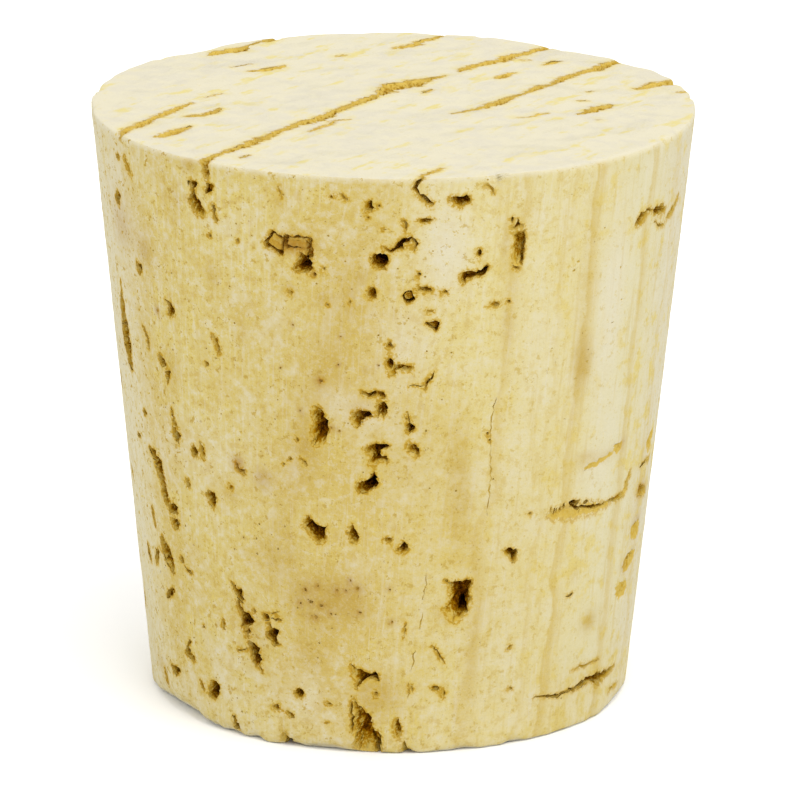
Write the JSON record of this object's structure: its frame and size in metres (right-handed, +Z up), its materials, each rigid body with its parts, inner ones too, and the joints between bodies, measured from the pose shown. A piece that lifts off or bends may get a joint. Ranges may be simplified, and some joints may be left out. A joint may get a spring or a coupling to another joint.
{
  "type": "tapered cork stopper",
  "caption": "Tapered stopper of natural cork that closes the mouth of a bottle, jar or flask, with the pits and grooves of the bark's pores across it.",
  "frame": {"origin": "centre of the narrow bottom end, which the stopper stands on", "axes": "+Z up along the stopper's axis, from the narrow end to the wide end; the view looks along +Y, with +X to the right"},
  "size_m": [0.038, 0.038, 0.038],
  "materials": {
    "cork": "bare natural cork, sanded smooth, with open pores"
  },
  "bodies": {
    "root": {"stopper": "cork"}
  },
  "joints": []
}
